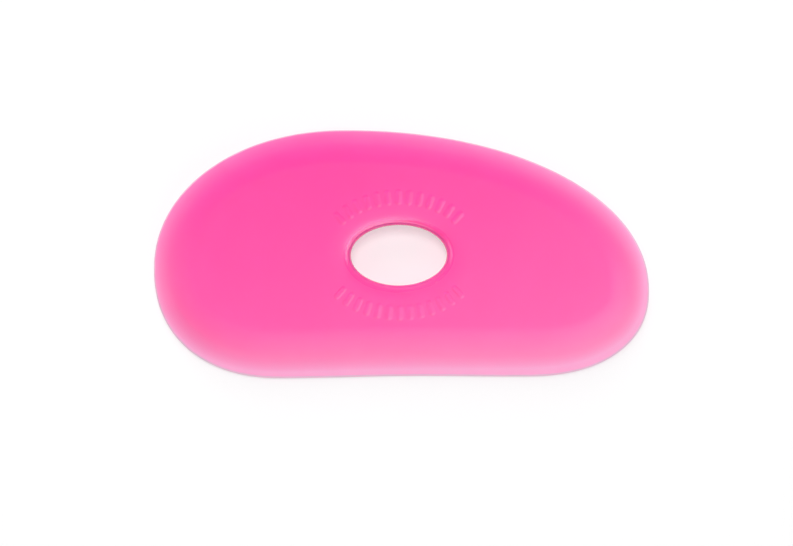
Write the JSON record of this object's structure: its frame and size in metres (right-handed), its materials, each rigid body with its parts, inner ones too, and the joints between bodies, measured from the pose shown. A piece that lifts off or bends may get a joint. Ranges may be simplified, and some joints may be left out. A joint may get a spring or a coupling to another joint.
{
  "type": "pottery rib",
  "caption": "Soft cast pottery rib for shaping and smoothing clay: flat back, bevelled face with a thin flexible edge, nearly straight working edge, round crown and an oval finger hole.",
  "frame": {"origin": "centre of the bounding box, on the flat back", "axes": "+X along the length towards the small end, +Y from the straight working edge towards the crown, +Z out of the bevelled face"},
  "size_m": [0.0888, 0.0444, 0.0064],
  "materials": {
    "polymer": "satin, slightly see-through where it is thin"
  },
  "bodies": {
    "root": {"rib": "polymer"}
  },
  "joints": []
}
